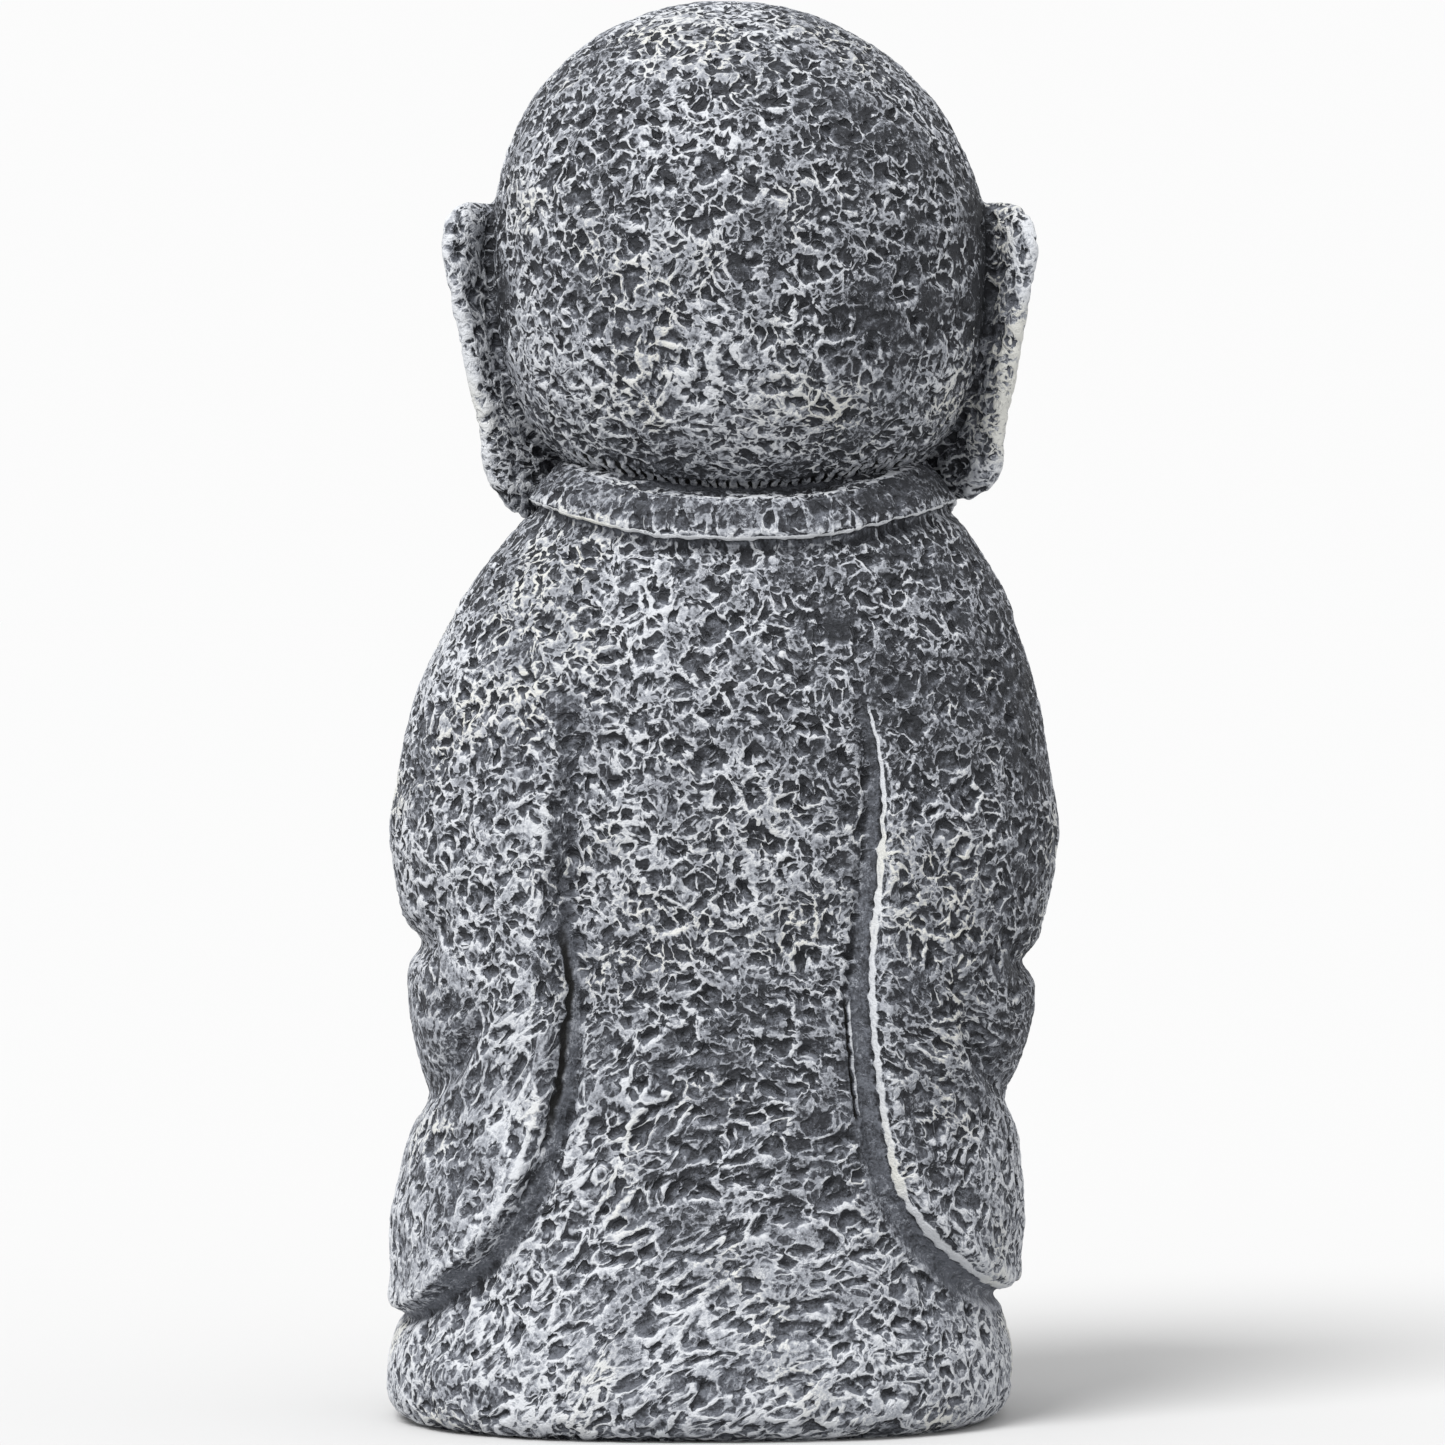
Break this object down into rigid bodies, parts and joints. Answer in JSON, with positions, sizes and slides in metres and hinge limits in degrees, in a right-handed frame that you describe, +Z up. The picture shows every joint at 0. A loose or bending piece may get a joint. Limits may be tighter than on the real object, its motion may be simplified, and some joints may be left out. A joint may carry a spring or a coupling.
{
  "type": "jizo figurine",
  "caption": "Small standing jizo figure cast in one: round head, long ears, collar, joined hands, and wide sleeves over a flared robe with a flat underside.",
  "frame": {"origin": "on the flat underside, at the foot of the figure's spine", "axes": "+Z up from the underside to the crown, -Y the way the face looks, +X the figure's left"},
  "size_m": [0.0952, 0.0782, 0.1999],
  "materials": {
    "cast_stone": "stone-filled casting, dark slate wash with dry-brushed pale ridges, matt"
  },
  "bodies": {
    "root": {"jizo_figure": "cast_stone"}
  },
  "joints": []
}
